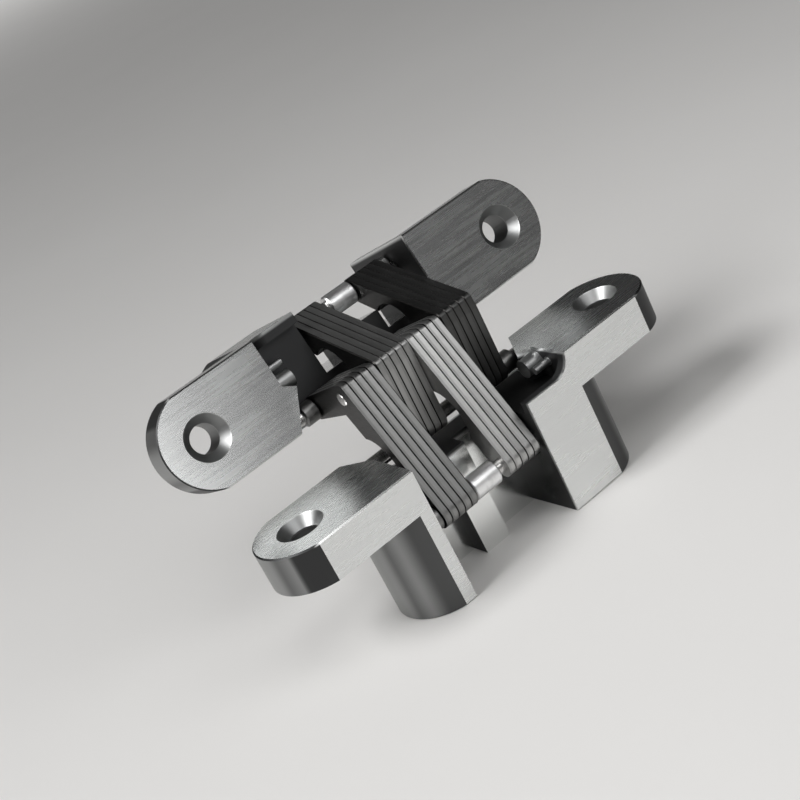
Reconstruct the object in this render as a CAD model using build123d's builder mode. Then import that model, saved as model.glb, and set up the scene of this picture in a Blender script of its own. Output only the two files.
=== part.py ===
from build123d import *
from math import cos, radians, sin
import os

os.makedirs("parts", exist_ok=True)

# Leaf casting, with X along the hinge, the seat under its flange at Z = 0 and the open outer
# side at -Y
leaf_length = 120.0
leaf_width = 25.4
flange_thickness = 10.3
end_bulge = 9.6
cup_length = 72.0
cup_depth = 36.3
face_edge_break = 0.35
cup_edge_round = 0.6

# Link plates, stacked side by side along the hinge between the cup's flat ends
stack_inset = 5.8
plates_per_stack = 5
stacks_per_link = 2
stack_gap = 0.1
plate_edge_break = 0.3
eye_radius = 3.3
elbow_reach = 5.0
elbow_angle = 111.0
elbow_radius = 1.6
knee_radius = 3.9

# Pins and the sleeves on them
pin_radius = 1.85
pin_edge_break = 0.35
running_fit = 0.05
seat_fit = 0.02
sleeve_radius = 3.1
spacer_radius = 2.9
sleeve_edge_break = 0.4

# Linkage, measured in the cross section: inward side positive, depth below the face
fixed_pin_from_edge = 2.9
fixed_pin_depth = 3.7
short_reach = 17.9
long_reach = 35.0
short_arm_share = 0.67
rest_opening = 106.0
short_arm_rest = 91.0
long_arm_rest = -59.6
full_opening = 180.0
slot_overrun = 2.0
slot_clearance = 0.15
slot_arcs = 3
slot_depth = 2.2
relief_radius = 8.6
relief_along = 17.9
relief_across = 7.7

# Pocket that lets the links swing, and the cut that opens the outer side of the cup
pocket_depth = 8.4
strip_width = 3.3
web_thickness = 7.7
block_reach = 13.2
side_clearance = 0.3
block_end_gap = 2.4
wall_clearance = 0.6
outer_wall = 3.0
notch_depth = 5.2
shoulder_inset = 0.7
lug_tip_from_edge = 10.2
lug_step_from_edge = 12.2
right_lug_inset = 3.2
left_lug_inset = 3.7
spacer_end_gap = 0.9
lug_flare = 2.6
fixed_pin_embed = 1.7
boss_radius = 2.4
boss_depth = 3.6
boss_clearance = 0.5
rib_radius = 1.0
rib_offset = 4.4

# Screw holes
hole_spacing = 96.0
screw_hole_radius = 3.7
countersink_radius = 5.9
countersink_angle = 82.0

# Places worked out from the sizes above
half_width = leaf_width / 2
leaf_face = Plane.XY.offset(flange_thickness)
cup_chord = cup_length / 2 - end_bulge
link_half_span = cup_chord - stack_inset
stack_pitch = link_half_span / stacks_per_link
plate_thickness = (stack_pitch - stack_gap) / plates_per_stack
fixed_pin_v = fixed_pin_from_edge - half_width
fixed_pin_w = -fixed_pin_depth


def section_point(v, w):
    """Model point of a cross section place: v towards the outer side, w out of the face."""
    return (0, -v, flange_thickness + w)


def section_plane(u, v=0.0, w=0.0, turn=0.0):
    """Plane across the hinge at u, its x axis turned from the outward direction."""
    return Plane(
        origin=(u, -v, flange_thickness + w),
        x_dir=(0, -cos(radians(turn)), sin(radians(turn))),
        z_dir=(-1, 0, 0),
    )


def knee_at(opening):
    """Place of the centre pin in the leaf's cross section at one opening."""
    swing = radians(short_arm_rest + short_arm_share * (opening - rest_opening))
    return (
        fixed_pin_v + short_reach * cos(swing),
        fixed_pin_w + short_reach * sin(swing),
    )


def slide_at(opening):
    """Place of the sliding pin in the leaf's cross section at one opening."""
    lean = radians(long_arm_rest + (1 - short_arm_share) * (opening - rest_opening))
    knee_v, knee_w = knee_at(opening)
    return knee_v + long_reach * cos(lean), knee_w + long_reach * sin(lean)


knee_v, knee_w = knee_at(rest_opening)
slide_v, slide_w = slide_at(rest_opening)
mirror_angle = radians(rest_opening / 2)
turn_axis = Axis(
    section_point(knee_v, knee_w),
    (0, -cos(mirror_angle), sin(mirror_angle)),
)
short_arm_angle = rest_opening - short_arm_rest - full_opening - long_arm_rest
pin_eye = (
    short_reach * cos(radians(short_arm_angle)),
    short_reach * sin(radians(short_arm_angle)),
)
slide_eye = (long_reach, 0)
elbow_centre_reach = elbow_reach - elbow_radius
elbow_centre = (
    elbow_centre_reach * cos(radians(elbow_angle)),
    elbow_centre_reach * sin(radians(elbow_angle)),
)


def bar_outline(length):
    """Flat-sided outline with slightly flattened round ends."""
    chord = length / 2 - end_bulge
    with BuildSketch() as outline:
        with BuildLine():
            Line((-chord, half_width), (chord, half_width))
            ThreePointArc((chord, half_width), (length / 2, 0), (chord, -half_width))
            Line((chord, -half_width), (-chord, -half_width))
            ThreePointArc((-chord, -half_width), (-length / 2, 0), (-chord, half_width))
        make_face()
    return outline.sketch


def slot_outline(width):
    """Curved slot that the sliding pin sweeps from closed to fully open."""
    step = (full_opening + 2 * slot_overrun) / (2 * slot_arcs)
    centres = [slide_at(-slot_overrun + step * k) for k in range(2 * slot_arcs + 1)]
    with BuildSketch() as outline:
        for first in range(0, 2 * slot_arcs, 2):
            with BuildLine(mode=Mode.PRIVATE) as path:
                ThreePointArc(*centres[first : first + 3])
            SlotArc(path.edge(), width)
    return outline.sketch


def plate_outline():
    """Bent link plate: two arms with round eyes, a corner elbow and a hollow inner edge."""
    with BuildSketch() as long_arm:
        Circle(knee_radius)
        with Locations(slide_eye):
            Circle(eye_radius)
        with Locations(elbow_centre):
            Circle(elbow_radius)
        make_hull()
    with BuildSketch() as short_arm:
        Circle(knee_radius)
        with Locations(pin_eye):
            Circle(eye_radius)
        with Locations(elbow_centre):
            Circle(elbow_radius)
        make_hull()
    with BuildSketch() as outline:
        add(long_arm.sketch)
        add(short_arm.sketch)
        with Locations((relief_along, -relief_across)):
            Circle(relief_radius, mode=Mode.SUBTRACT)
        Circle(pin_radius + running_fit, mode=Mode.SUBTRACT)
        with Locations(pin_eye):
            Circle(pin_radius + running_fit, mode=Mode.SUBTRACT)
        with Locations(slide_eye):
            Circle(pin_radius + seat_fit, mode=Mode.SUBTRACT)
    return outline.sketch


# Leaf B: flange and deep cup, opened on its outer side
strip_inner = -cup_chord + strip_width
wall_start = stack_pitch + wall_clearance
web_face = half_width - web_thickness
block_face = half_width - block_reach
block_low = -stack_pitch + side_clearance
block_high = -block_end_gap
shoulder_end = cup_chord - shoulder_inset
lug_end = shoulder_end + lug_flare
lug_tip = shoulder_end - right_lug_inset
left_lug_tip = left_lug_inset - shoulder_end
lug_tip_y = half_width - lug_tip_from_edge
lug_step_y = half_width - lug_step_from_edge
wall_inner = outer_wall - half_width
cut_edge = half_width + wall_clearance
fixed_pin_half = lug_end + fixed_pin_embed
boss_length = shoulder_end - link_half_span - boss_clearance

with BuildPart() as leaf_b_body:
    with BuildSketch(leaf_face.offset(-cup_depth)):
        add(bar_outline(cup_length))
    extrude(amount=cup_depth)
    fillet(leaf_b_body.faces().sort_by(Axis.Z)[0].edges(), radius=cup_edge_round)
    with BuildSketch(Plane.XY):
        add(bar_outline(leaf_length))
    extrude(amount=flange_thickness)
    chamfer(leaf_b_body.faces().sort_by(Axis.Z)[-1].edges(), length=face_edge_break)

    # The outer half of the cup is cut away around the links, past a block between them
    with BuildSketch(leaf_face):
        with BuildLine():
            Polyline(
                (strip_inner, -cut_edge),
                (wall_start, -cut_edge),
                (wall_start, web_face),
                (block_high, web_face),
                (block_high, block_face),
                (block_low, block_face),
                (block_low, web_face),
                (strip_inner, web_face),
                close=True,
            )
        make_face()
    extrude(amount=-cup_depth, mode=Mode.SUBTRACT)

    # Pocket below the face, with a flared lug at each end that carries the fixed pin
    with BuildSketch(leaf_face):
        with BuildLine():
            Polyline(
                (strip_inner, -cut_edge),
                (wall_start, -cut_edge),
                (wall_start, wall_inner),
                (shoulder_end, wall_inner),
                (shoulder_end, lug_step_y),
                (lug_tip, lug_tip_y),
                (lug_end, half_width),
                (lug_end, cut_edge),
                (-lug_end, cut_edge),
                (-lug_end, half_width),
                (left_lug_tip, lug_tip_y),
                (strip_inner, lug_step_y),
                close=True,
            )
        make_face()
    extrude(amount=-pocket_depth, mode=Mode.SUBTRACT)

    # The outer wall beside the pocket is lowered, its end rounded up to the face
    with BuildSketch(
        Plane(origin=(0, wall_inner, flange_thickness), x_dir=(1, 0, 0), z_dir=(0, -1, 0))
    ):
        with BuildLine():
            Line((wall_start, 0), (wall_start, -notch_depth))
            Line((wall_start, -notch_depth), (shoulder_end - notch_depth, -notch_depth))
            RadiusArc(
                (shoulder_end - notch_depth, -notch_depth), (shoulder_end, 0), -notch_depth
            )
            Line((shoulder_end, 0), (wall_start, 0))
        make_face()
    extrude(amount=outer_wall, mode=Mode.SUBTRACT)

    # Tracks for the ends of the sliding pin
    for wall, reach in ((strip_inner, -slot_depth), (wall_start, slot_depth)):
        with BuildSketch(section_plane(wall)):
            add(slot_outline(2 * (pin_radius + slot_clearance)))
        extrude(amount=-reach, mode=Mode.SUBTRACT)

    # Bore of the fixed pin, blind in both lugs
    with BuildSketch(section_plane(fixed_pin_half, fixed_pin_v, fixed_pin_w)):
        Circle(pin_radius + seat_fit)
    extrude(amount=2 * fixed_pin_half, mode=Mode.SUBTRACT)

    # Stop boss and rib beside the outermost link plate
    with BuildSketch(section_plane(shoulder_end, 0, -boss_depth)):
        Circle(boss_radius)
    extrude(amount=boss_length)
    with BuildSketch(section_plane(shoulder_end, rib_offset, -boss_depth)):
        Circle(rib_radius)
    extrude(amount=boss_length)

    # Countersunk screw holes
    with Locations(leaf_face):
        with GridLocations(hole_spacing, 0, 2, 1):
            CounterSinkHole(
                radius=screw_hole_radius,
                counter_sink_radius=countersink_radius,
                depth=flange_thickness,
                counter_sink_angle=countersink_angle,
            )
leaf_b_body.part.label = "leaf_b_body"
export_step(leaf_b_body.part, "parts/leaf_b_body.step")

with BuildPart() as leaf_a_body:
    add(leaf_b_body.part.rotate(turn_axis, full_opening))
leaf_a_body.part.label = "leaf_a_body"
export_step(leaf_a_body.part, "parts/leaf_a_body.step")

# Link plates: the first link runs from leaf A's fixed pin to leaf B's sliding pin, the
# second link is the same set turned half a turn about the line midway between the leaves
for number in range(stacks_per_link * plates_per_stack):
    stack, layer = divmod(number, plates_per_stack)
    start = -link_half_span + 2 * stack * stack_pitch + stack_gap / 2
    far_side = start + (layer + 1) * plate_thickness
    with BuildPart() as first_link_plate:
        with BuildSketch(section_plane(far_side, knee_v, knee_w, long_arm_rest)):
            add(plate_outline())
        extrude(amount=plate_thickness)
        rolled_face = first_link_plate.faces().sort_by(Axis.X)[-1]
        chamfer(rolled_face.outer_wire().edges(), length=plate_edge_break)
    with BuildPart() as second_link_plate:
        add(first_link_plate.part.rotate(turn_axis, full_opening))
    for link, plate in (("first", first_link_plate), ("second", second_link_plate)):
        plate.part.label = f"{link}_link_plate_{number + 1:02d}"
        export_step(plate.part, f"parts/{plate.part.label}.step")


def make_round(u_start, u_end, place, radius, edge_break, bore=0.0):
    """Pin or sleeve along the hinge for leaf B, and its twin turned over to leaf A."""
    with BuildPart() as item:
        with BuildSketch(section_plane(u_end, *place)):
            Circle(radius)
        extrude(amount=u_end - u_start)
        chamfer(item.edges().filter_by(GeomType.CIRCLE), length=edge_break)
        if bore:
            with BuildSketch(section_plane(u_end, *place)):
                Circle(bore)
            extrude(amount=u_end - u_start, mode=Mode.SUBTRACT)
    with BuildPart() as twin:
        add(item.part.rotate(turn_axis, full_opening))
    return item.part, twin.part


seat_bore = pin_radius + seat_fit
slide_place = (slide_v, slide_w)
fixed_place = (fixed_pin_v, fixed_pin_w)
slide_pin_start = strip_inner - slot_depth + slot_clearance
slide_pin_end = wall_start + slot_depth - slot_clearance
stack_outer = link_half_span - stack_gap / 2
spacer_end = shoulder_end - spacer_end_gap

with BuildPart() as centre_pin:
    with BuildSketch(section_plane(link_half_span, knee_v, knee_w)):
        Circle(pin_radius)
    extrude(amount=2 * link_half_span)
    chamfer(centre_pin.edges().filter_by(GeomType.CIRCLE), length=pin_edge_break)
centre_pin.part.label = "centre_pin"
export_step(centre_pin.part, "parts/centre_pin.step")

rounds = (
    (
        "leaf_b_fixed_pin",
        "leaf_a_fixed_pin",
        make_round(-fixed_pin_half, fixed_pin_half, fixed_place, pin_radius, pin_edge_break),
    ),
    (
        "first_link_slide_pin",
        "second_link_slide_pin",
        make_round(slide_pin_start, slide_pin_end, slide_place, pin_radius, pin_edge_break),
    ),
    (
        "first_link_slide_sleeve",
        "second_link_slide_sleeve",
        make_round(
            stack_gap - stack_pitch,
            side_clearance - block_end_gap,
            slide_place,
            sleeve_radius,
            sleeve_edge_break,
            seat_bore,
        ),
    ),
    (
        "leaf_b_pin_spacer",
        "leaf_a_pin_spacer",
        make_round(
            link_half_span, spacer_end, fixed_place, spacer_radius, sleeve_edge_break, seat_bore
        ),
    ),
    (
        "first_link_end_spacer",
        "second_link_end_spacer",
        make_round(
            strip_inner + side_clearance,
            -stack_outer,
            slide_place,
            spacer_radius,
            sleeve_edge_break,
            seat_bore,
        ),
    ),
)
for name, twin_name, (piece, twin) in rounds:
    piece.label = name
    export_step(piece, f"parts/{name}.step")
    twin.label = twin_name
    export_step(twin, f"parts/{twin_name}.step")
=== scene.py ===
"""Finishes, floor, light and camera for the concealed cross hinge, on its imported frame.

Lengths inside the finishes are millimetres, because the tool marks on metal are easier to
read that way. Everything that is placed in the scene is in metres, as the frame is.
"""

import logging
import math
from dataclasses import dataclass
from enum import Enum

import bmesh
import bpy
from mathutils import Matrix, Vector


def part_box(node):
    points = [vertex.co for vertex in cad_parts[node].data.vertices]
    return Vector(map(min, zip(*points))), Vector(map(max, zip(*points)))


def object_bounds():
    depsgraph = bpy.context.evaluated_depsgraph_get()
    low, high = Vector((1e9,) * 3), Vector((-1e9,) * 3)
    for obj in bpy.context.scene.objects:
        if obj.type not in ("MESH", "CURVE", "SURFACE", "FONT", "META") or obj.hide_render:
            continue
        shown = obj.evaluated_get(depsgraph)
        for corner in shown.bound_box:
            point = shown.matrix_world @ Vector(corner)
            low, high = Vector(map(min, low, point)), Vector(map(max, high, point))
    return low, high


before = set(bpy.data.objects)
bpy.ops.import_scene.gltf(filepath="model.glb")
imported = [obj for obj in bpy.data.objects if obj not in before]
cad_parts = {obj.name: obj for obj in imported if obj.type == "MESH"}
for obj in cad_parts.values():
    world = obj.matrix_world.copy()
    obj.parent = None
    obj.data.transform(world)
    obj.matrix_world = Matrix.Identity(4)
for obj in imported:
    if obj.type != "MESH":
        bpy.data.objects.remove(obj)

log = logging.getLogger("cross_hinge")

MM = 0.001
CAD_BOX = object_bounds()
NOISE_ROUGHNESS = 0.55
CLOUD_DETAIL = 2.0
# Middle of a signal that runs from 0 to 1
MIDDLE = 0.5

Colour = tuple[float, float, float]
Triple = tuple[float, float, float]
Span = tuple[float, float]


class Lay(Enum):
    """Which way the tool marks of a finish run."""

    ALONG = "along the hinge"
    THROUGH = "through the thickness of a plate"
    ROUND = "round a pin or a sleeve"


class Signal:
    """A number that varies over a surface, with operators for shader maths."""

    def __init__(self, bench: "NodeBench", socket: bpy.types.NodeSocket) -> None:
        """Wraps one output socket.

        Args:
            bench: The bench whose node tree the socket belongs to.
            socket: The output socket that carries the number.
        """
        self.bench = bench
        self.socket = socket

    def _math(self, operation: str, *values: "Signal | float", clamp: bool = False) -> "Signal":
        """Adds one Math node.

        Args:
            operation: The operation of the Math node.
            values: Its operands, in order.
            clamp: Whether its result stays between 0 and 1.

        Returns:
            The result.
        """
        settings = {"operation": operation, "use_clamp": clamp}
        made = self.bench.node("ShaderNodeMath", settings, dict(enumerate(values)))
        return Signal(self.bench, made.outputs[0])

    def __add__(self, other: "Signal | float") -> "Signal":
        """Sum."""
        return self._math("ADD", self, other)

    def __radd__(self, other: float) -> "Signal":
        """Sum with a plain number first."""
        return self._math("ADD", other, self)

    def __sub__(self, other: "Signal | float") -> "Signal":
        """Difference."""
        return self._math("SUBTRACT", self, other)

    def __rsub__(self, other: float) -> "Signal":
        """Difference with a plain number first."""
        return self._math("SUBTRACT", other, self)

    def __mul__(self, other: "Signal | float") -> "Signal":
        """Product."""
        return self._math("MULTIPLY", self, other)

    def __rmul__(self, other: float) -> "Signal":
        """Product with a plain number first."""
        return self._math("MULTIPLY", other, self)

    def __abs__(self) -> "Signal":
        """Size without its sign."""
        return self._math("ABSOLUTE", self)

    def sine(self) -> "Signal":
        """Sine of an angle in radians."""
        return self._math("SINE", self)

    def root(self) -> "Signal":
        """Square root."""
        return self._math("SQRT", self)

    def most(self, other: "Signal | float") -> "Signal":
        """The greater of two numbers."""
        return self._math("MAXIMUM", self, other)

    def clamped(self) -> "Signal":
        """The number held between 0 and 1."""
        return self._math("ADD", self, 0.0, clamp=True)

    def rising(self, start: float, end: float) -> "Signal":
        """Smooth step up between two levels.

        Args:
            start: Level at and below which the result is 0.
            end: Level at and above which the result is 1.

        Returns:
            The step.
        """
        made = self.bench.node(
            "ShaderNodeMapRange",
            {"interpolation_type": "SMOOTHSTEP"},
            {"Value": self, "From Min": start, "From Max": end, "To Min": 0.0, "To Max": 1.0},
        )
        return Signal(self.bench, made.outputs[0])

    def falling(self, start: float, end: float) -> "Signal":
        """Smooth step down, which is 1 up to the start and 0 from the end."""
        return 1 - self.rising(start, end)

    def within(self, low: float, high: float, soft: float) -> "Signal":
        """Mask of a band.

        Args:
            low: Lower edge of the band.
            high: Upper edge of the band.
            soft: How far each edge fades to either side.

        Returns:
            1 inside the band and 0 outside it.
        """
        return self.rising(low - soft, low + soft) * self.falling(high - soft, high + soft)


class NodeBench:
    """Builds the node tree of one material."""

    def __init__(self, label: str) -> None:
        """Starts a material with only its surface shader.

        Args:
            label: Name of the material.
        """
        self.material = bpy.data.materials.new(label)
        self.material.use_nodes = True
        self.tree = self.material.node_tree
        self.shader = self.tree.nodes["Principled BSDF"]

    def node(
        self,
        kind: str,
        settings: dict[str, object] | None = None,
        inputs: dict[str | int, object] | None = None,
    ) -> bpy.types.Node:
        """Adds any node.

        Args:
            kind: Node type.
            settings: Attributes of the node, set before its sockets.
            inputs: Values, signals or sockets for its inputs, by name or number.

        Returns:
            The new node.
        """
        made = self.tree.nodes.new(kind)
        for name, value in (settings or {}).items():
            setattr(made, name, value)
        for key, value in (inputs or {}).items():
            self.feed(made.inputs[key], value)
        return made

    def feed(self, socket: bpy.types.NodeSocket, value: object) -> None:
        """Gives a socket a link or a value.

        Args:
            socket: The input socket.
            value: A Signal, an output socket, a number or a tuple.
        """
        if isinstance(value, Signal):
            self.tree.links.new(value.socket, socket)
        elif isinstance(value, bpy.types.NodeSocket):
            self.tree.links.new(value, socket)
        else:
            socket.default_value = value

    def place(self, turn: Matrix | None = None) -> bpy.types.NodeSocket:
        """Place on the piece in millimetres.

        Args:
            turn: Move from the frame into the piece's own axes, in metres.

        Returns:
            The vector socket.
        """
        move = turn or Matrix.Identity(4)
        here = self.node("ShaderNodeTexCoord").outputs["Object"]
        settled = self.node(
            "ShaderNodeMapping",
            {"vector_type": "POINT"},
            {
                "Vector": here,
                "Location": tuple(move.to_translation() / MM),
                "Rotation": move.to_euler(),
                "Scale": (1 / MM,) * 3,
            },
        )
        return settled.outputs[0]

    def facing_along(self) -> Signal:
        """How far the surface faces along the hinge, from -1 to 1."""
        facing = self.node("ShaderNodeTexCoord").outputs["Normal"]
        return self.axes(facing)[0]

    def axes(self, place: bpy.types.NodeSocket) -> tuple[Signal, Signal, Signal]:
        """The three coordinates of a place as signals."""
        split = self.node("ShaderNodeSeparateXYZ", None, {0: place})
        return tuple(Signal(self, socket) for socket in split.outputs)

    def stretched(
        self, place: bpy.types.NodeSocket, scale: Triple, detail: float = 3.0
    ) -> Signal:
        """Noise from 0 to 1, stretched by a scale per axis.

        Args:
            place: Place in millimetres.
            scale: Waves per millimetre along each axis.
            detail: Octaves of the noise.

        Returns:
            The noise.
        """
        drawn = self.node(
            "ShaderNodeVectorMath", {"operation": "MULTIPLY"}, {0: place, 1: scale}
        )
        noise = self.node(
            "ShaderNodeTexNoise",
            {"noise_dimensions": "3D"},
            {
                "Vector": drawn.outputs[0],
                "Scale": 1.0,
                "Detail": detail,
                "Roughness": NOISE_ROUGHNESS,
            },
        )
        return Signal(self, noise.outputs[0])

    def blend(
        self,
        factor: Signal,
        below: Colour | bpy.types.NodeSocket,
        above: Colour | bpy.types.NodeSocket,
    ) -> bpy.types.NodeSocket:
        """Mix of two colours.

        Args:
            factor: 0 for the first colour and 1 for the second.
            below: First colour.
            above: Second colour.

        Returns:
            The colour socket.
        """
        ends = [(*end, 1.0) if isinstance(end, tuple) else end for end in (below, above)]
        mixed = self.node(
            "ShaderNodeMix", {"data_type": "RGBA"}, {0: factor, 6: ends[0], 7: ends[1]}
        )
        return mixed.outputs[2]

    def dress(
        self,
        colour: bpy.types.NodeSocket,
        roughness: Signal,
        height: Signal,
        relief: float,
        metallic: float,
    ) -> bpy.types.Material:
        """Feeds the surface shader.

        Args:
            colour: Base colour.
            roughness: Roughness.
            height: Relief of the tool marks, from 0 to 1.
            relief: Height of that relief in millimetres.
            metallic: How metallic the surface is.

        Returns:
            The finished material.
        """
        bump = self.node(
            "ShaderNodeBump", None, {"Strength": 1.0, "Distance": relief * MM, "Height": height}
        )
        self.feed(self.shader.inputs["Base Color"], colour)
        self.feed(self.shader.inputs["Roughness"], roughness)
        self.feed(self.shader.inputs["Normal"], bump.outputs[0])
        self.feed(self.shader.inputs["Metallic"], metallic)
        return self.material


@dataclass(frozen=True)
class MetalFinish:
    """A bare or plated metal surface with the marks of the tool that made it.

    The fineness is how many marks there are in a millimetre across the lay, and a stretch
    is its share along the lay. The relief is how deep the marks are, in millimetres.
    """

    label: str
    tone: Colour
    # The dull tone serves torn edges, smears and painted shade; the worn tone serves wear,
    # mottle and painted light
    dull_and_shade_tone: Colour
    worn_and_lit_tone: Colour
    lay: Lay
    roughness: float
    roughness_swing: float
    relief: float
    fineness: float
    metallic: float = 1.0
    brush_stretch: float = 0.02
    brush_detail: float = 1.0
    broad_scale: float = 0.3
    fine_share: float = 0.65
    broad_share: float = 0.35
    cut_stretch: float = 0.1
    ring_depth: float = 0.25
    ring_spread: float = 0.3
    ring_noise: float = 0.4

    def marks(self, bench: NodeBench, place: bpy.types.NodeSocket) -> Signal:
        """Tool marks of this finish.

        Args:
            bench: Where the nodes are made.
            place: Place in millimetres, in the piece's own axes.

        Returns:
            The marks, from 0 to 1.
        """
        fine = self.fineness
        if self.lay is Lay.ALONG:
            slow = fine * self.brush_stretch
            broad = fine * self.broad_scale
            hair = bench.stretched(place, (slow, fine, fine), self.brush_detail)
            streaks = bench.stretched(place, (slow, broad, broad), self.brush_detail)
            return hair * self.fine_share + streaks * self.broad_share
        if self.lay is Lay.THROUGH:
            return bench.stretched(place, (fine * self.cut_stretch, fine, fine))
        along, across, out = bench.axes(place)
        radius = (across * across + out * out).root()
        rings = ((along + radius) * (fine * math.tau)).sine() * self.ring_depth + MIDDLE
        noise = bench.stretched(place, (fine, self.ring_spread, self.ring_spread))
        return rings + noise * self.ring_noise - self.ring_noise / 2


SATIN_CASTING = MetalFinish(
    label="satin_plated_casting",
    tone=(0.66, 0.67, 0.67),
    # Near black, for the painted shade of the pocket and the holes
    dull_and_shade_tone=(0.025, 0.025, 0.026),
    worn_and_lit_tone=(0.86, 0.87, 0.86),
    lay=Lay.ALONG,
    roughness=0.27,
    roughness_swing=0.12,
    relief=0.004,
    fineness=2.2,
)
BLANKED_STEEL = MetalFinish(
    label="blanked_link_steel",
    tone=(0.41, 0.41, 0.405),
    dull_and_shade_tone=(0.03, 0.029, 0.028),
    worn_and_lit_tone=(0.56, 0.56, 0.55),
    lay=Lay.THROUGH,
    roughness=0.36,
    roughness_swing=0.2,
    relief=0.012,
    fineness=3.0,
)
GROUND_PIN = MetalFinish(
    label="ground_pin_steel",
    tone=(0.62, 0.61, 0.60),
    dull_and_shade_tone=(0.25, 0.24, 0.23),
    worn_and_lit_tone=(0.78, 0.78, 0.77),
    lay=Lay.ROUND,
    roughness=0.26,
    roughness_swing=0.12,
    relief=0.003,
    fineness=5.0,
)
# The spacers' dark tone is painted shade: they sit deep in the hinge, among the links and the
# leaves
SHADED_SPACER = MetalFinish(
    label="spacer_steel_painted_shade",
    tone=(0.17, 0.168, 0.165),
    dull_and_shade_tone=(0.05, 0.049, 0.048),
    worn_and_lit_tone=(0.3, 0.3, 0.295),
    lay=Lay.ROUND,
    roughness=0.36,
    roughness_swing=0.12,
    relief=0.006,
    fineness=3.2,
)
# The sleeves' pale tone is turned steel lightened further to paint in the bright highlight they
# catch
TURNED_SLEEVE = MetalFinish(
    label="turned_sleeve_steel",
    tone=(0.88, 0.88, 0.88),
    dull_and_shade_tone=(0.45, 0.45, 0.45),
    worn_and_lit_tone=(0.95, 0.95, 0.95),
    lay=Lay.ROUND,
    roughness=0.38,
    roughness_swing=0.12,
    relief=0.006,
    fineness=3.2,
)


def centre_of(node: str) -> Vector:
    """Middle of a node's box at rest, in metres."""
    low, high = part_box(node)
    return (low + high) / 2


@dataclass(frozen=True)
class LeafSpot:
    """Where a point of a casting lies, as signals.

    Lengths are in millimetres, in the axes that leaf B has. The facing runs from 0, across
    the hinge, to 1, straight along it. The last two are masks of 0 and 1.
    """

    along: Signal
    across: Signal
    out: Signal
    depth: Signal
    side_reach: Signal
    hole_reach: Signal
    facing: Signal
    in_length: Signal
    round_pieces: Signal


@dataclass(frozen=True)
class CastingLook:
    """How the painted shade, the painted reflection and highlight on the ends, the painted light
    on the block and the wear spread over a casting.

    A pair is where a change starts and ends: a depth below the face, a distance from an
    edge, both in millimetres, or a facing from 0 to 1. Painted shade runs from 0 to 1.
    """

    cloud_scale: Triple = (0.05, 0.12, 0.12)
    length_fade: float = 0.2
    pocket_fade: float = 0.6
    pocket_side: Span = (0.1, 1.2)
    pocket_end_facing: Span = (0.4, 0.8)
    pocket_end_depth: Span = (0.4, 1.2)
    # Painted shade in the pocket: its walls are darkened nearly to black
    pocket_painted_shade: float = 0.96
    round_piece_side: Span = (0.05, 0.3)
    round_piece_run_in: float = 0.6
    # Painted shade on the boss and the rib, lighter than on the pocket's walls
    round_piece_painted_shade: float = 0.5
    sink_side: float = 0.15
    sink_fade: float = 0.4
    sink_ring_depth: float = 0.12
    bore_side: Span = (0.1, 0.2)
    bore_fade: float = 0.6
    # Painted shade in the countersinks and, darker, in the bores below them
    hole_painted_shade: float = 0.6
    bore_painted_shade: float = 0.75
    flange_fade: float = 0.4
    # Painted reflection on the rounded ends: a dark tone, a darker band on the flange, and
    # painted highlights (glow) where the ends face more along the hinge
    end_facing: Span = (0.08, 0.26)
    end_dark_reflection: float = 0.9
    band_facing: Span = (0.7, 0.9)
    band_dark_reflection: float = 0.96
    glow_facing: Span = (0.66, 0.88)
    glow_fade: float = 0.14
    glow: float = 0.26
    tip_facing: Span = (0.9, 0.99)
    tip_glow: float = 0.3
    end_outside_pocket: float = 0.9
    # Painted light on the block and the web, which stand in shade below the links
    block_light_fade: float = 0.6
    block_light_facing: Span = (0.2, 0.5)
    block_light_side: Span = (1.0, 2.0)
    rim_depth: Span = (0.15, 0.6)
    rim_side: Span = (0.2, 0.6)
    hole_rim_side: Span = (-0.1, 0.15)
    hole_rim_fade: float = 0.12
    hole_rim_depth: Span = (0.1, 0.6)
    hole_rim_wear: float = 0.4
    least_wear: float = 0.4
    cloud_wear: float = 0.9
    marks_in_tone: float = 0.55
    cloud_in_tone: float = 0.35
    cloud_roughness: float = 0.08
    skin_roughness: float = 0.22
    wear_polish: float = 0.1


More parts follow.
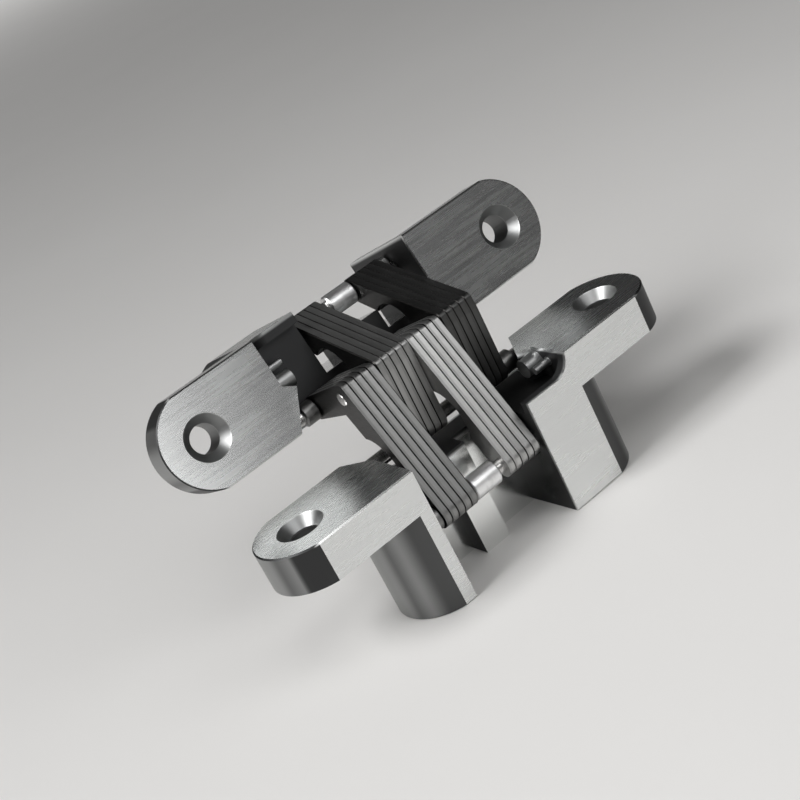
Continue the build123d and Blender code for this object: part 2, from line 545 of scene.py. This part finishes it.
@dataclass
class Leaf:
    """One leaf casting: a rounded flange on a deep cup with a pocket in its face."""

    body: str
    turned: bool
    finish: MetalFinish = SATIN_CASTING
    look: CastingLook = CastingLook()
    rest_opening: float = 106.0
    half_width: float = 12.7
    flange_thickness: float = 10.3
    pocket_half_length: float = 25.9
    # Depths below the face between which the pocket's side walls get painted shade
    pocket_shade_start: float = 1.2
    pocket_shade_end: float = 9.4
    hole_spacing: float = 96.0
    hole_radius: float = 3.7
    countersink_radius: float = 5.9
    countersink_depth: float = 2.6
    boss_start: float = 20.6
    boss_height: float = 6.7
    boss_radius: float = 2.4
    rib_across: float = -4.4
    rib_radius: float = 1.0

    def own_axes(self) -> Matrix:
        """Move from the frame to leaf B's axes, in which the open side is at -Y.

        Returns:
            The identity for leaf B, and half a turn about the hinge's own line for leaf A.
        """
        if not self.turned:
            return Matrix.Identity(4)
        lean = math.radians(self.rest_opening / 2)
        axis = Vector((0, -math.cos(lean), math.sin(lean)))
        centre = centre_of("centre_pin")
        return (
            Matrix.Translation(centre)
            @ Matrix.Rotation(math.pi, 4, axis)
            @ Matrix.Translation(-centre)
        )

    def spot(self, bench: NodeBench, place: bpy.types.NodeSocket) -> LeafSpot:
        """Measures where a point lies on the casting.

        Args:
            bench: Where the nodes are made.
            place: Place in millimetres, in the casting's own axes.

        Returns:
            The measures.
        """
        along, across, out = bench.axes(place)
        past_hole = abs(along) - self.hole_spacing / 2
        half_length = self.pocket_half_length
        fade = self.look.length_fade
        return LeafSpot(
            along=along,
            across=across,
            out=out,
            depth=self.flange_thickness - out,
            side_reach=self.half_width - abs(across),
            hole_reach=(past_hole * past_hole + across * across).root(),
            facing=abs(bench.facing_along()),
            in_length=abs(along).falling(half_length - fade, half_length + fade),
            round_pieces=self.round_mask(along, across, out),
        )

    def round_mask(self, along: Signal, across: Signal, out: Signal) -> Signal:
        """Mask of the boss and the rib in the pocket, which are left out of the pocket's painted
        shade and get a lighter painted shade of their own.

        Args:
            along: Place along the leaf in its own axes.
            across: Place across the leaf.
            out: Height above the seat.

        Returns:
            1 on the two round pieces and 0 elsewhere.
        """
        near, far = self.look.round_piece_side
        height = out - self.boss_height
        from_rib = across - self.rib_across
        boss_reach = (across * across + height * height).root()
        rib_reach = (from_rib * from_rib + height * height).root()
        on_boss = boss_reach.falling(self.boss_radius + near, self.boss_radius + far)
        on_rib = rib_reach.falling(self.rib_radius + near, self.rib_radius + far)
        run_in = self.boss_start - self.look.round_piece_run_in
        return on_boss.most(on_rib) * along.rising(run_in, self.boss_start)

    def bore_mask(self, spot: LeafSpot) -> Signal:
        """Mask of the straight bores below the countersinks.

        Args:
            spot: Where the point lies.

        Returns:
            1 on the bores' walls and 0 elsewhere.
        """
        near, far = self.look.bore_side
        fade = self.look.bore_fade
        start = self.countersink_depth
        bore = spot.hole_reach.falling(self.hole_radius + near, self.hole_radius + far)
        return bore * spot.depth.rising(start - fade, start + fade)

    def sink_mask(self, spot: LeafSpot) -> Signal:
        """Mask of the countersinks.

        Args:
            spot: Where the point lies.

        Returns:
            1 on the cones and 0 elsewhere.
        """
        edge = self.countersink_radius
        end = self.countersink_depth
        sink = spot.hole_reach.falling(edge, edge + self.look.sink_side)
        return sink * spot.depth.falling(end, end + self.look.sink_fade)

    def pocket_mask(self, spot: LeafSpot) -> Signal:
        """Mask of the pocket's walls, where painted shade darkens the recess, with the boss and
        the rib left out.

        Args:
            spot: Where the point lies.

        Returns:
            1 in the pocket and 0 elsewhere.
        """
        look = self.look
        side_wall = spot.depth.within(
            self.pocket_shade_start, self.pocket_shade_end, look.pocket_fade
        )
        end_wall = spot.facing.rising(*look.pocket_end_facing)
        end_wall = end_wall * spot.depth.rising(*look.pocket_end_depth)
        inside = spot.in_length * spot.side_reach.rising(*look.pocket_side)
        return inside * side_wall.most(end_wall) * (1 - spot.round_pieces)

    def end_painted_reflection(self, spot: LeafSpot) -> Signal:
        """Painted reflection on the rounded ends of the flange and the cup, with a painted
        highlight.

        Args:
            spot: Where the point lies.

        Returns:
            The painted darkness, least at the painted highlights where the ends catch the light.
        """
        look = self.look
        thickness = self.flange_thickness
        on_flange = spot.depth.falling(thickness, thickness + look.flange_fade)
        on_round_end = spot.facing.rising(*look.end_facing)
        band = on_round_end * spot.facing.falling(*look.band_facing) * on_flange
        glow = spot.facing.within(*look.glow_facing, look.glow_fade) * look.glow
        glow = glow + spot.facing.rising(*look.tip_facing) * look.tip_glow
        return (on_round_end * (look.end_dark_reflection - glow)).most(band * look.band_dark_reflection)

    def block_painted_light_mask(self, spot: LeafSpot) -> Signal:
        """Mask of the painted light on the block and the web that stand in the open side of the
        cup.

        Args:
            spot: Where the point lies.

        Returns:
            1 on their flat sides below the flange and 0 elsewhere.
        """
        look = self.look
        thickness = self.flange_thickness
        below_flange = spot.depth.rising(thickness, thickness + look.block_light_fade)
        flat = spot.facing.falling(*look.block_light_facing)
        return spot.in_length * below_flange * flat * spot.side_reach.rising(*look.block_light_side)

    def wear(self, spot: LeafSpot, cloud: Signal) -> Signal:
        """Bright wear on the face's edges and on the rims of the countersinks.

        Args:
            spot: Where the point lies.
            cloud: Slow noise that makes the wear uneven.

        Returns:
            The wear, from 0 to 1.
        """
        look = self.look
        inner, outer = look.hole_rim_side
        rim = spot.depth.falling(*look.rim_depth) * spot.side_reach.falling(*look.rim_side)
        hole_rim = spot.hole_reach.within(
            self.countersink_radius + inner, self.countersink_radius + outer, look.hole_rim_fade
        )
        hole_rim = hole_rim * spot.depth.falling(*look.hole_rim_depth)
        uneven = look.least_wear + cloud * look.cloud_wear
        return (rim.most(hole_rim * look.hole_rim_wear) * uneven).clamped()

    def material(self) -> bpy.types.Material:
        """Satin plating: brushed along the leaf, turned in the countersinks, with painted shade
        in the pocket and the holes, a painted reflection on the rounded ends and painted light
        on the block.

        Returns:
            The material of the casting.
        """
        finish = self.finish
        look = self.look
        bench = NodeBench(f"{self.body}_{finish.label}")
        place = bench.place(self.own_axes())
        spot = self.spot(bench, place)
        brushed = finish.marks(bench, place)
        cloud = bench.stretched(place, look.cloud_scale, CLOUD_DETAIL)

        # The countersinks and the bores below them get painted shade
        bore = self.bore_mask(spot)
        in_hole = self.sink_mask(spot).most(bore)
        rings = (spot.hole_reach * (finish.fineness * math.tau)).sine()
        rings = rings * look.sink_ring_depth + MIDDLE
        outside = (1 - in_hole) * (1 - spot.in_length * look.end_outside_pocket)
        # All painted shade and the painted reflection of the ends gather here; they also roughen
        # the surface
        skin_and_painted_shade = (self.pocket_mask(spot) * look.pocket_painted_shade).most(in_hole * look.hole_painted_shade)
        skin_and_painted_shade = skin_and_painted_shade.most(bore * look.bore_painted_shade)
        skin_and_painted_shade = skin_and_painted_shade.most(spot.round_pieces * look.round_piece_painted_shade)
        skin_and_painted_shade = skin_and_painted_shade.most(self.end_painted_reflection(spot) * outside)
        marks = (brushed * (1 - in_hole) + rings * in_hole) * (1 - skin_and_painted_shade) + skin_and_painted_shade * MIDDLE
        # Real wear brightens the edges and the countersink rims; painted light brightens the
        # block and the web
        wear_and_painted_light = self.wear(spot, cloud).most(self.block_painted_light_mask(spot))

        mottle = (marks * look.marks_in_tone + cloud * look.cloud_in_tone).clamped()
        plated = bench.blend(mottle, finish.tone, finish.worn_and_lit_tone)
        shaded = bench.blend(skin_and_painted_shade, plated, finish.dull_and_shade_tone)
        colour = bench.blend(wear_and_painted_light, shaded, finish.worn_and_lit_tone)
        roughness = (
            finish.roughness
            + (marks - MIDDLE) * finish.roughness_swing
            + (cloud - MIDDLE) * look.cloud_roughness
            + skin_and_painted_shade * look.skin_roughness
            - wear_and_painted_light * look.wear_polish
        )
        return bench.dress(colour, roughness, marks, finish.relief, finish.metallic)

    def dress(self) -> None:
        """Gives the casting its finish."""
        give(f"{self.body}_body", self.material())


@dataclass(frozen=True)
class PlateLook:
    """How the cut edge, the torn band and the painted shade of the seams spread through a
    plate's thickness.

    A pair is where a band starts and ends, as a share of the thickness.
    """

    cut_stretch: float = 0.25
    rolled_scale: Triple = (0.6, 0.5, 2.4)
    cloud_scale: Triple = (0.1, 0.09, 0.09)
    cut_band: Span = (0.03, 0.85)
    cut_fade: float = 0.01
    torn_band: Span = (0.04, 0.3)
    torn_fade: float = 0.06
    near_seam: Span = (0.0, 0.05)
    far_seam: Span = (0.82, 0.87)
    cloud_in_tone: float = 0.7
    marks_in_tone: float = 0.3
    torn_dullness: float = 0.05
    torn_marks: float = 0.2
    torn_roughness: float = 0.12
    cloud_roughness: float = 0.1


@dataclass
class LinkStack:
    """One link: two stacks of blanked and bent plates, side by side along the hinge.

    Each plate has its own tone, as a share of the finish's, made of a small random spread and
    painted shade on whole stacks, and its own depth of painted seam shade.
    """

    link: str
    tones_with_painted_shade: tuple[float, ...]
    seam_shades: tuple[float, ...]
    turned: bool = False
    finish: MetalFinish = BLANKED_STEEL
    look: PlateLook = PlateLook()

    def through(self, bench: NodeBench, node: str, place: bpy.types.NodeSocket) -> Signal:
        """How far through a plate's thickness a point lies.

        Args:
            bench: Where the nodes are made.
            node: The plate.
            place: Place in millimetres.

        Returns:
            The share, from 0 to 1, counted from the other face on a turned link.
        """
        low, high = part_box(node)
        along, _, _ = bench.axes(place)
        share = (along - low.x / MM) * (MM / (high.x - low.x))
        return 1 - share if self.turned else share

    def material(self, node: str, tone: float, seam_shade: float) -> bpy.types.Material:
        """Finish of one plate, with the burnished and torn bands of its cut edge.

        Args:
            node: The plate.
            tone: Its share of the finish's tone, painted shade included.
            seam_shade: How dark the painted shade in the seams beside it is, from 0 to 1.

        Returns:
            The material of that plate.
        """
        finish = self.finish
        look = self.look
        bench = NodeBench(f"{node}_{finish.label}")
        place = bench.place()
        through = self.through(bench, node, place)
        cut_scale = (look.cut_stretch, finish.fineness, finish.fineness)
        cut = bench.stretched(place, cut_scale)
        rolled = bench.stretched(place, look.rolled_scale)
        cloud = bench.stretched(place, look.cloud_scale, CLOUD_DETAIL)
        on_edge = through.within(*look.cut_band, look.cut_fade)
        torn = through.within(*look.torn_band, look.torn_fade)
        marks = cut * on_edge + rolled * (1 - on_edge)

        plain = tuple(level * tone for level in finish.tone)
        bright = tuple(level * tone for level in finish.worn_and_lit_tone)
        # Painted shade in the seams between stacked plates
        seam = through.falling(*look.near_seam).most(through.rising(*look.far_seam))
        mottle = (cloud * look.cloud_in_tone + marks * look.marks_in_tone).clamped()
        metal = bench.blend(mottle, plain, bright)
        torn_share = torn * (look.torn_dullness + marks * look.torn_marks)
        rough_cut = bench.blend(torn_share, metal, finish.dull_and_shade_tone)
        colour = bench.blend(seam * seam_shade, rough_cut, finish.dull_and_shade_tone)
        roughness = (
            finish.roughness
            + (marks - MIDDLE) * finish.roughness_swing
            + torn * look.torn_roughness
            + (cloud - MIDDLE) * look.cloud_roughness
        )
        return bench.dress(colour, roughness, marks, finish.relief, finish.metallic)

    def dress(self) -> None:
        """Gives every plate of the link its finish."""
        for number, (tone, seam_shade) in enumerate(zip(self.tones_with_painted_shade, self.seam_shades), start=1):
            node = f"{self.link}_link_plate_{number:02d}"
            give(node, self.material(node, tone, seam_shade))


@dataclass
class RoundPieces:
    """Pins or sleeves that share one finish."""

    nodes: tuple[str, ...]
    finish: MetalFinish
    end_band: float = 0.9
    cloud_scale: Triple = (0.3, 0.2, 0.2)
    cloud_in_tone: float = 0.6
    marks_in_tone: float = 0.4
    smear_start: Span = (0.52, 0.72)
    smear: float = 0.35
    end_dark_reflection: float = 0.2
    cloud_roughness: float = 0.1

    def material(self, node: str) -> bpy.types.Material:
        """Finish of one round piece, with rings about its own axis.

        Args:
            node: The pin or sleeve.

        Returns:
            Its material.
        """
        finish = self.finish
        bench = NodeBench(f"{node}_{finish.label}")
        low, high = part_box(node)
        half = (high.x - low.x) / MM / 2
        place = bench.place(Matrix.Translation(-centre_of(node)))
        along, _, _ = bench.axes(place)
        marks = finish.marks(bench, place)
        cloud = bench.stretched(place, self.cloud_scale, CLOUD_DETAIL)
        mottle = (cloud * self.cloud_in_tone + marks * self.marks_in_tone).clamped()
        metal = bench.blend(mottle, finish.tone, finish.worn_and_lit_tone)
        end = abs(along).rising(half - self.end_band, half)
        smear = cloud.rising(*self.smear_start) * self.smear + end * self.end_dark_reflection
        colour = bench.blend(smear, metal, finish.dull_and_shade_tone)
        roughness = (
            finish.roughness
            + (marks - MIDDLE) * finish.roughness_swing
            + (cloud - MIDDLE) * self.cloud_roughness
        )
        return bench.dress(colour, roughness, marks, finish.relief, finish.metallic)

    def dress(self) -> None:
        """Gives every piece its finish."""
        for node in self.nodes:
            give(node, self.material(node))


def give(node: str, material: bpy.types.Material) -> None:
    """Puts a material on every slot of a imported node.

    Args:
        node: Name of the node.
        material: Its new material.
    """
    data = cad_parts[node].data
    if not data.materials:
        data.materials.append(material)
    for index in range(len(data.materials)):
        data.materials[index] = material
    log.info("%s wears %s", node, material.name)


@dataclass(frozen=True)
class Softbox:
    """A square soft lamp that points at the hinge, unless it has an aim of its own.

    Its place, aim and size are in metres, its power in watts and its spread in degrees.
    """

    label: str
    place: Triple
    size: float
    power: float
    aim: Triple | None = None
    spread: float = 180.0


SOFTBOXES = (
    Softbox("front_softbox", place=(-0.05, -0.72, 0.19), size=0.3, power=0.85),
    Softbox(
        "apron_softbox",
        place=(0.0, -0.3, 0.55),
        size=0.3,
        power=0.17,
        aim=(0.04, -0.12, 0.0),
        spread=80.0,
    ),
    Softbox("left_softbox", place=(-0.6, -0.05, 0.5), size=0.4, power=2.1),
    Softbox("right_softbox", place=(0.28, -0.52, 0.5), size=0.3, power=0.7),
    Softbox("far_softbox", place=(-1.5, 0.2, 1.9), size=1.0, power=30.0),
    Softbox(
        "backdrop_softbox",
        place=(1.2, 4.2, 4.0),
        size=2.0,
        power=34.0,
        aim=(1.2, 4.2, 0.0),
        spread=92.0,
    ),
)


@dataclass
class Studio:
    """Pale floor, soft light and the camera."""

    floor_tone: Colour = (0.79, 0.78, 0.765)
    floor_size: float = 24.0
    floor_roughness: float = 0.75
    floor_roughness_swing: float = 0.1
    floor_relief: float = 0.02
    mottle_scale: Triple = (0.01, 0.01, 0.01)
    mottle_tone: float = 0.97
    world_tone: float = 0.03
    camera_place: Triple = (-0.1471, -0.29617, 0.15192)
    camera_forward: Triple = (0.3851, 0.8431, -0.3753)
    camera_up: Triple = (0.5576, 0.1115, 0.8226)
    lens: float = 68.56
    sensor: float = 36.0
    clip_start: float = 0.01
    clip_end: float = 100.0
    softboxes: tuple[Softbox, ...] = SOFTBOXES

    def floor_material(self) -> bpy.types.Material:
        """Matt pale surface with a faint mottle.

        Returns:
            The floor's material.
        """
        bench = NodeBench("pale_floor")
        mottle = bench.stretched(bench.place(), self.mottle_scale, CLOUD_DETAIL)
        shade = tuple(level * self.mottle_tone for level in self.floor_tone)
        colour = bench.blend(mottle, shade, self.floor_tone)
        roughness = mottle * self.floor_roughness_swing + self.floor_roughness
        return bench.dress(colour, roughness, mottle, self.floor_relief, metallic=0.0)

    def lay_floor(self) -> None:
        """Lays a flat floor under the lowest point of the hinge."""
        work = bmesh.new()
        bmesh.ops.create_grid(work, x_segments=1, y_segments=1, size=self.floor_size / 2)
        bmesh.ops.translate(work, verts=work.verts, vec=(0, 0, CAD_BOX[0].z))
        data = bpy.data.meshes.new("floor")
        work.to_mesh(data)
        work.free()
        data.materials.append(self.floor_material())
        floor = bpy.data.objects.new("floor", data)
        bpy.context.scene.collection.objects.link(floor)

    def hang_lamps(self) -> None:
        """Hangs the softboxes, each turned towards its aim."""
        hinge_middle = (CAD_BOX[0] + CAD_BOX[1]) / 2
        for box in self.softboxes:
            lamp = bpy.data.lights.new(box.label, "AREA")
            lamp.size = box.size
            lamp.energy = box.power
            lamp.spread = math.radians(box.spread)
            holder = bpy.data.objects.new(box.label, lamp)
            holder.location = box.place
            holder.visible_camera = False
            way = (hinge_middle if box.aim is None else Vector(box.aim)) - Vector(box.place)
            holder.rotation_euler = way.to_track_quat("-Z", "Y").to_euler()
            bpy.context.scene.collection.objects.link(holder)

    def set_world(self) -> None:
        """Faint even light from all round."""
        world = bpy.data.worlds.new("soft_room")
        world.use_nodes = True
        background = world.node_tree.nodes["Background"]
        background.inputs["Color"].default_value = (1.0, 1.0, 1.0, 1.0)
        background.inputs["Strength"].default_value = self.world_tone
        bpy.context.scene.world = world

    def set_camera(self) -> None:
        """Sets the camera at the photograph's viewing angle."""
        data = bpy.data.cameras.new("camera")
        data.lens = self.lens
        data.sensor_width = self.sensor
        data.clip_start = self.clip_start
        data.clip_end = self.clip_end
        camera = bpy.data.objects.new("camera", data)
        back = -Vector(self.camera_forward).normalized()
        right = Vector(self.camera_up).cross(back).normalized()
        up = back.cross(right)
        turn = Matrix((right, up, back)).transposed().to_4x4()
        camera.matrix_world = Matrix.Translation(Vector(self.camera_place)) @ turn
        bpy.context.scene.collection.objects.link(camera)
        bpy.context.scene.camera = camera

    def build(self) -> None:
        """Sets up everything round the hinge."""
        self.lay_floor()
        self.hang_lamps()
        self.set_world()
        self.set_camera()
        bpy.context.scene.view_settings.view_transform = "Standard"


def hinge_parts() -> list[Leaf | LinkStack | RoundPieces]:
    """Lists the sub-assemblies of the hinge.

    Returns:
        The leaves, the links and the round pieces, in the order in which they are dressed.
    """
    pins = (
        "centre_pin",
        "leaf_b_fixed_pin",
        "leaf_a_fixed_pin",
        "first_link_slide_pin",
        "second_link_slide_pin",
    )
    sleeves = ("first_link_slide_sleeve", "second_link_slide_sleeve")
    spacers = (
        "first_link_end_spacer",
        "second_link_end_spacer",
        "leaf_b_pin_spacer",
        "leaf_a_pin_spacer",
    )
    return [
        Leaf(body="leaf_b", turned=False),
        Leaf(body="leaf_a", turned=True),
        # The tones paint shade: the first five plates of the first link, and all of the second
        # link, most of all its first five, are darkened where their stacks catch less light; the
        # small spread within each five is random
        LinkStack(
            link="first",
            tones_with_painted_shade=(0.52, 0.59, 0.54, 0.61, 0.53, 1.0, 1.08, 0.92, 1.04, 0.96),
            seam_shades=(0.94, 0.94, 0.94, 0.94, 0.94, 0.4, 0.4, 0.75, 0.94, 0.94),
        ),
        LinkStack(
            link="second",
            tones_with_painted_shade=(0.18, 0.21, 0.19, 0.22, 0.19, 0.68, 0.74, 0.64, 0.71, 0.66),
            seam_shades=(0.94,) * 10,
            turned=True,
        ),
        RoundPieces(nodes=pins, finish=GROUND_PIN),
        RoundPieces(nodes=sleeves, finish=TURNED_SLEEVE),
        RoundPieces(nodes=spacers, finish=SHADED_SPACER),
    ]


def main() -> None:
    """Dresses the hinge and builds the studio."""
    logging.basicConfig(level=logging.INFO, format="%(name)s: %(message)s")
    for part in hinge_parts():
        part.dress()
    Studio().build()


if __name__ == "__main__":
    main()
